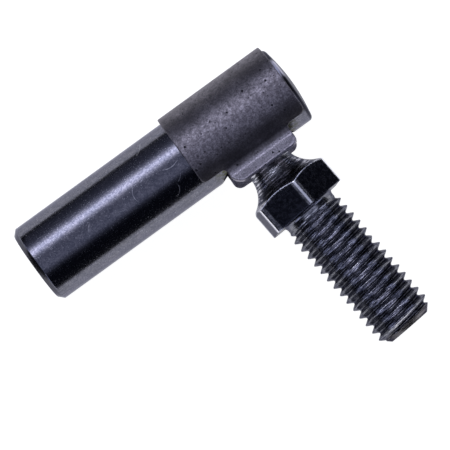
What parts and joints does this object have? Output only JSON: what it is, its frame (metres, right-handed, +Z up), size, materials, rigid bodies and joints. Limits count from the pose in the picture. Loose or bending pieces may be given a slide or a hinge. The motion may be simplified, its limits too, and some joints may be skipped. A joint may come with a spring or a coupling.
{
  "type": "angle ball joint",
  "caption": "Steel angle ball joint: a turned, tapped body whose side socket holds a ball stud under a rolled spring clip.",
  "frame": {"origin": "middle of the joint's outline in plan, on the surface it lies on", "axes": "+X along the turned body from its tapped rod end to its socket end; the stud points along -Y and leans 5 degrees towards +X; +Z up from the surface that the joint lies on, square to both"},
  "size_m": [0.0482, 0.0484, 0.0145],
  "materials": {
    "zinc_body": "bright zinc plate over turned steel, fine scratches along it",
    "phosphate_clip": "matt grey phosphated spring steel with small dark pits",
    "zinc_stud": "dark zinc plate, turned and rolled"
  },
  "bodies": {
    "body": {"socket_body": "zinc_body"},
    "clip": {"retaining_clip": "phosphate_clip"},
    "stud": {"ball_stud": "zinc_stud"}
  },
  "joints": [
    {"name": "clip_swing", "type": "hinge", "parent": "body", "child": "clip", "pos_m": [0.0132, 0.01694, 0.00726], "axis": [1, 0, 0], "range_deg": [-6, 6]},
    {"name": "stud_tilt", "type": "hinge", "parent": "clip", "child": "stud", "pos_m": [0.0132, 0.01544, 0.00726], "axis": [0, 0, 1], "range_deg": [-23, 13]}
  ]
}
